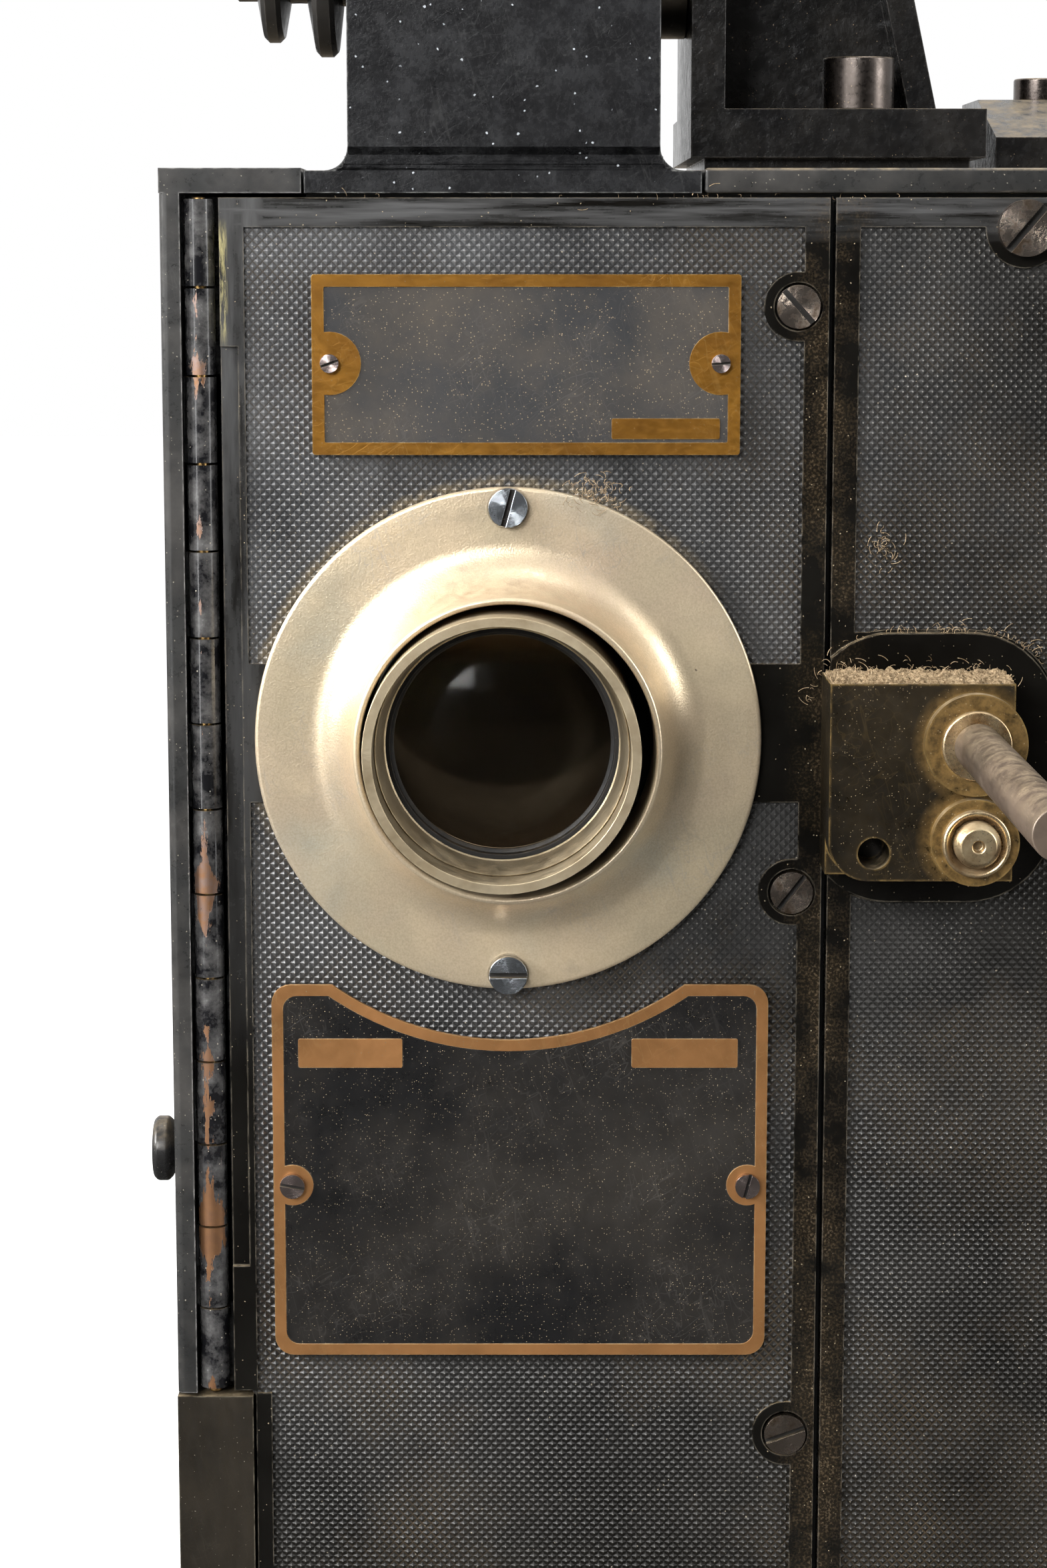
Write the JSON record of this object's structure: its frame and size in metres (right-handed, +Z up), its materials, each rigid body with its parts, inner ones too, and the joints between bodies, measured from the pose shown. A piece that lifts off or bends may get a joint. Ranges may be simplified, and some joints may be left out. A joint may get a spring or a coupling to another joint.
{
  "type": "movie projector head",
  "caption": "Hand-cranked film projector head in a black metal case, with a nickel lens collar, knurled front covers, hinged film door, gear train and shutter shaft.",
  "frame": {"origin": "centre of the four base bolts on the underside", "axes": "+Z up; the lens looks along -Y; +X is to the right of someone who faces the lens, on the gear side"},
  "size_m": [0.3185, 0.37, 0.486],
  "materials": {
    "japanned_black": "satin",
    "cast_frame": "rough",
    "nickel": "satin",
    "brass": "satin",
    "steel": "satin",
    "bronze_patina": "satin",
    "glass": "polished",
    "wood": "polished"
  },
  "bodies": {
    "housing": {"base_casting": "cast_frame", "centre_frame": "cast_frame", "rear_wall": "japanned_black", "top_deck": "cast_frame", "top_plate": "japanned_black", "lens_side_cover": "japanned_black", "gear_side_cover": "japanned_black", "side_cover": "japanned_black", "cover_screws": "steel", "lens_collar": "nickel", "collar_screws": "steel", "upper_plate": "brass", "lower_plate": "brass", "plate_screws": "steel", "fixed_hinge_leaf": "japanned_black", "hinge_pin": "brass", "film_chute": "japanned_black", "magazine_bracket": "japanned_black", "top_bolts": "steel", "shutter_bracket": "bronze_patina", "bracket_bushes": "brass", "guide_pin": "steel", "lens_carrier": "cast_frame", "aperture_plate": "steel", "light_cone": "japanned_black", "intermittent_case": "cast_frame", "bearing_bridge": "cast_frame"},
    "door": {"film_door": "japanned_black", "door_hinge_leaf": "japanned_black", "window_frame": "nickel", "window_glass": "glass"},
    "door_latch": {"door_knob": "japanned_black"},
    "chute_spindle": {"chute_roller": "steel", "chute_knob": "japanned_black"},
    "lens": {"lens_barrel": "nickel", "lens_glass": "glass"},
    "focus_spindle": {"focus_knob": "brass"},
    "film_gate": {"gate": "cast_frame"},
    "fire_flap": {"fire_shutter": "steel"},
    "crank_set": {"crank_gear": "steel", "crank_arm": "cast_frame"},
    "crank_handle": {"crank_grip": "wood"},
    "drive_set": {"drive_shaft": "steel", "drive_gear": "bronze_patina"},
    "idler_set": {"idler_gear": "brass"},
    "upper_feed": {"upper_sprocket": "steel", "upper_gear": "brass"},
    "lower_feed": {"lower_sprocket": "steel", "lower_gear": "brass"},
    "step_set": {"intermittent_sprocket": "steel", "star_wheel": "steel"},
    "fly_set": {"flywheel": "steel", "cam_wheel": "steel"},
    "shutter_set": {"shutter_shaft": "steel", "shutter_pinion": "brass"},
    "upper_pad": {"upper_pad_arm": "cast_frame"},
    "lower_pad": {"lower_pad_arm": "cast_frame"},
    "upper_pad_wheel": {"upper_pad_roller": "steel"},
    "lower_pad_wheel": {"lower_pad_roller": "steel"}
  },
  "joints": [
    {"name": "door_swing", "type": "hinge", "parent": "housing", "child": "door", "pos_m": [-0.1047, -0.1166, 0.263], "axis": [0, 0, 1], "range_deg": [0, 95]},
    {"name": "door_knob_turn", "type": "hinge", "parent": "door", "child": "door_latch", "pos_m": [-0.1125, 0, 0.1586], "axis": [1, 0, 0], "range_deg": [-90, 0]},
    {"name": "chute_roller_spin", "type": "hinge", "parent": "housing", "child": "chute_spindle", "pos_m": [-0.042, -0.075, 0.439], "axis": [1, 0, 0], "continuous": true},
    {"name": "focus_turn", "type": "hinge", "parent": "housing", "child": "focus_spindle", "pos_m": [-0.0432, -0.054, 0.2411], "axis": [1, 0, 0], "range_deg": [-76.39, 76.39]},
    {"name": "lens_focus", "type": "slide", "parent": "housing", "child": "lens", "axis": [0, 1, 0], "range_m": [-0.008, 0.008]},
    {"name": "gate_slide", "type": "slide", "parent": "housing", "child": "film_gate", "axis": [0, -1, 0], "range_m": [0, 0.01]},
    {"name": "fire_flap_lift", "type": "hinge", "parent": "housing", "child": "fire_flap", "pos_m": [-0.012, 0.052, 0.3037], "axis": [0, 1, 0], "range_deg": [0, 60]},
    {"name": "crank_turn", "type": "hinge", "parent": "housing", "child": "crank_set", "pos_m": [0.1125, -0.0103, 0.22], "axis": [1, 0, 0], "continuous": true},
    {"name": "grip_spin", "type": "hinge", "parent": "crank_set", "child": "crank_handle", "pos_m": [0.145, -0.0103, 0.11], "axis": [1, 0, 0], "continuous": true},
    {"name": "drive_spin", "type": "hinge", "parent": "housing", "child": "drive_set", "pos_m": [0.07, -0.0103, 0.28], "axis": [1, 0, 0], "continuous": true},
    {"name": "idler_spin", "type": "hinge", "parent": "housing", "child": "idler_set", "pos_m": [0.035, -0.01215, 0.31896], "axis": [1, 0, 0], "continuous": true},
    {"name": "upper_sprocket_spin", "type": "hinge", "parent": "housing", "child": "upper_feed", "pos_m": [-0.042, -0.051, 0.352], "axis": [1, 0, 0], "continuous": true},
    {"name": "lower_sprocket_spin", "type": "hinge", "parent": "housing", "child": "lower_feed", "pos_m": [-0.042, 0.02067, 0.155], "axis": [1, 0, 0], "continuous": true},
    {"name": "intermittent_spin", "type": "hinge", "parent": "housing", "child": "step_set", "pos_m": [-0.042, 0.057, 0.232], "axis": [1, 0, 0], "continuous": true},
    {"name": "flywheel_spin", "type": "hinge", "parent": "housing", "child": "fly_set", "pos_m": [0.08, 0.047, 0.25382], "axis": [1, 0, 0], "continuous": true},
    {"name": "shutter_shaft_spin", "type": "hinge", "parent": "housing", "child": "shutter_set", "pos_m": [0.0515, -0.142, 0.28], "axis": [0, 1, 0], "continuous": true},
    {"name": "upper_pad_swing", "type": "hinge", "parent": "housing", "child": "upper_pad", "pos_m": [-0.002, -0.08785, 0.34415], "axis": [1, 0, 0], "range_deg": [-32, 0]},
    {"name": "lower_pad_swing", "type": "hinge", "parent": "housing", "child": "lower_pad", "pos_m": [-0.002, -0.01818, 0.17585], "axis": [1, 0, 0], "range_deg": [0, 32]},
    {"name": "upper_roller_spin", "type": "hinge", "parent": "upper_pad", "child": "upper_pad_wheel", "pos_m": [-0.042, -0.06585, 0.33715], "axis": [1, 0, 0], "continuous": true},
    {"name": "lower_roller_spin", "type": "hinge", "parent": "lower_pad", "child": "lower_pad_wheel", "pos_m": [-0.042, 0.00582, 0.16985], "axis": [1, 0, 0], "continuous": true}
  ],
  "couplings": [
    {"joint": "focus_turn", "follows": "lens_focus", "rad_per_m": -166.67},
    {"joint": "drive_spin", "follows": "crank_turn", "ratio": -4},
    {"joint": "idler_spin", "follows": "crank_turn", "ratio": 1.7778},
    {"joint": "upper_sprocket_spin", "follows": "crank_turn", "ratio": -2},
    {"joint": "lower_sprocket_spin", "follows": "crank_turn", "ratio": -2},
    {"joint": "flywheel_spin", "follows": "crank_turn", "ratio": 8},
    {"joint": "intermittent_spin", "follows": "crank_turn", "ratio": -2},
    {"joint": "shutter_shaft_spin", "follows": "crank_turn", "ratio": -8}
  ]
}
